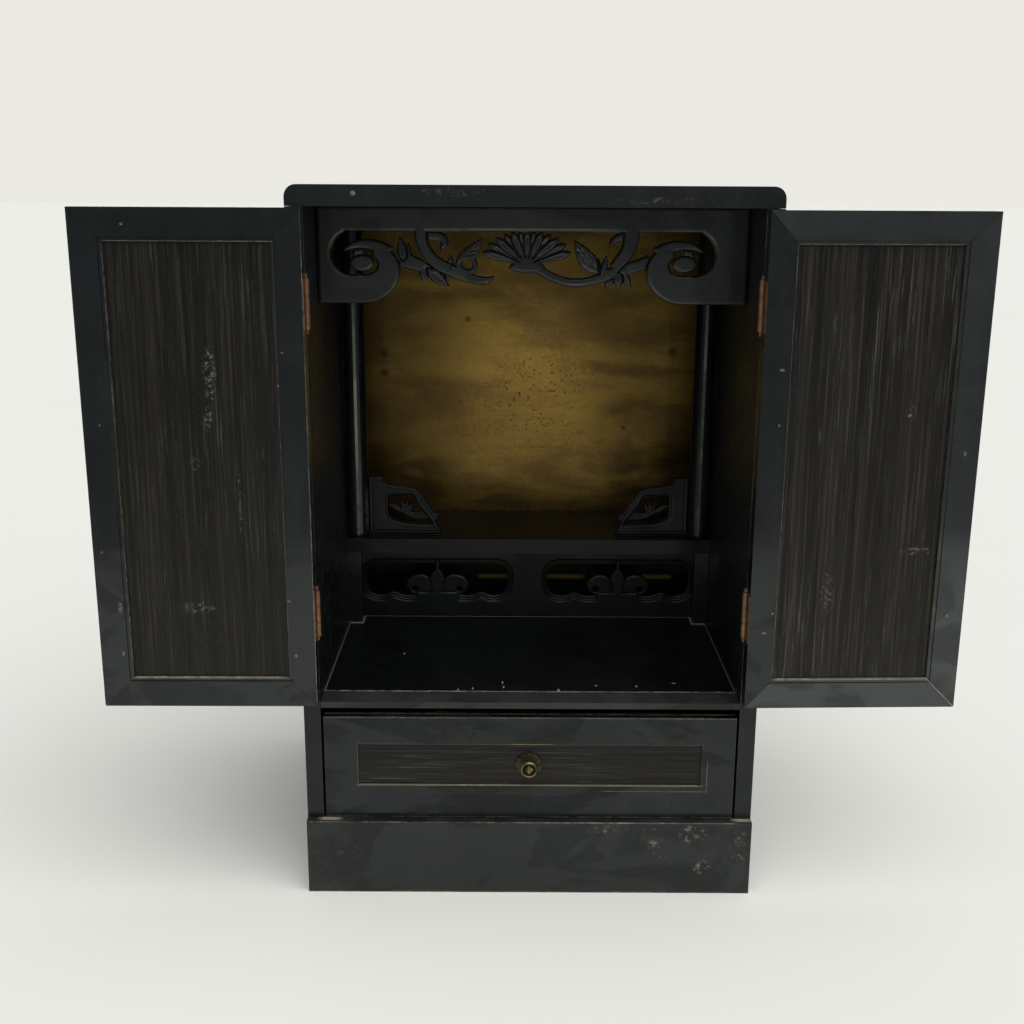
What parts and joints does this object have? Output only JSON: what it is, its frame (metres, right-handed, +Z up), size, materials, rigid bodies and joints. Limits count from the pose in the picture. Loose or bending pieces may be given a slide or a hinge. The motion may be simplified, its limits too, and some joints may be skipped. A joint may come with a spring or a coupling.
{
  "type": "household altar cabinet",
  "caption": "Black lacquered altar cabinet with framed hinged doors, a gilt back, round pillars, a carved transom, stepped shelves, a pierced apron and a drawer.",
  "frame": {"origin": "middle of the box around the open cabinet, on the surface that it stands on", "axes": "+X to the cabinet's right as seen from the front, +Y from front to back, +Z up"},
  "size_m": [0.6802, 0.322, 0.5767],
  "materials": {
    "lacquer": "glossy black lacquer on wood, dusty, with worn arrises",
    "veneer": "dark straight-grained ebony-like veneer, satin",
    "gold_leaf": "mottled gilt paper or leaf on a thin board, aged and stained",
    "copper": "copper-washed butt hinges, dulled",
    "brass": "old brass with a dark patina",
    "bare_wood": "plain unfinished softwood"
  },
  "bodies": {
    "carcase": {"back_board": "bare_wood", "bottom_board": "bare_wood", "bracket_left": "lacquer", "bracket_right": "lacquer", "carved_transom": "lacquer", "gold_panel": "gold_leaf", "hinge_left_lower_pin": "copper", "hinge_left_lower_side_leaf": "copper", "hinge_left_upper_pin": "copper", "hinge_left_upper_side_leaf": "copper", "hinge_right_lower_pin": "copper", "hinge_right_lower_side_leaf": "copper", "hinge_right_upper_pin": "copper", "hinge_right_upper_side_leaf": "copper", "lower_post_left": "lacquer", "lower_post_right": "lacquer", "lower_shelf": "lacquer", "pierced_apron": "lacquer", "pillar_left": "lacquer", "pillar_right": "lacquer", "plinth_back": "lacquer", "plinth_front": "lacquer", "plinth_left": "lacquer", "plinth_right": "lacquer", "shelf_front_rail": "lacquer", "side_left": "lacquer", "side_right": "lacquer", "top_board": "lacquer", "upper_shelf": "lacquer"},
    "door_left": {"door_left_bottom_rail": "lacquer", "door_left_hinge_stile": "lacquer", "door_left_meeting_stile": "lacquer", "door_left_panel": "veneer", "door_left_top_rail": "lacquer", "hinge_left_lower_door_leaf": "copper", "hinge_left_upper_door_leaf": "copper"},
    "door_right": {"door_right_bottom_rail": "lacquer", "door_right_hinge_stile": "lacquer", "door_right_meeting_stile": "lacquer", "door_right_panel": "veneer", "door_right_top_rail": "lacquer", "hinge_right_lower_door_leaf": "copper", "hinge_right_upper_door_leaf": "copper"},
    "drawer": {"drawer_back": "bare_wood", "drawer_base": "bare_wood", "drawer_front": "lacquer", "drawer_knob": "brass", "drawer_left": "bare_wood", "drawer_panel": "veneer", "drawer_right": "bare_wood", "knob_rosette": "brass"}
  },
  "joints": [
    {"name": "left_door_hinge", "type": "hinge", "parent": "carcase", "child": "door_left", "pos_m": [-0.1705, -0.14491, 0.2459], "axis": [0, 0, 1], "range_deg": [-5, 179.6]},
    {"name": "right_door_hinge", "type": "hinge", "parent": "carcase", "child": "door_right", "pos_m": [0.1701, -0.14491, 0.2459], "axis": [0, 0, -1], "range_deg": [-3, 181.7]},
    {"name": "drawer_slide", "type": "slide", "parent": "carcase", "child": "drawer", "axis": [0, -1, 0], "range_m": [0, 0.18]}
  ]
}
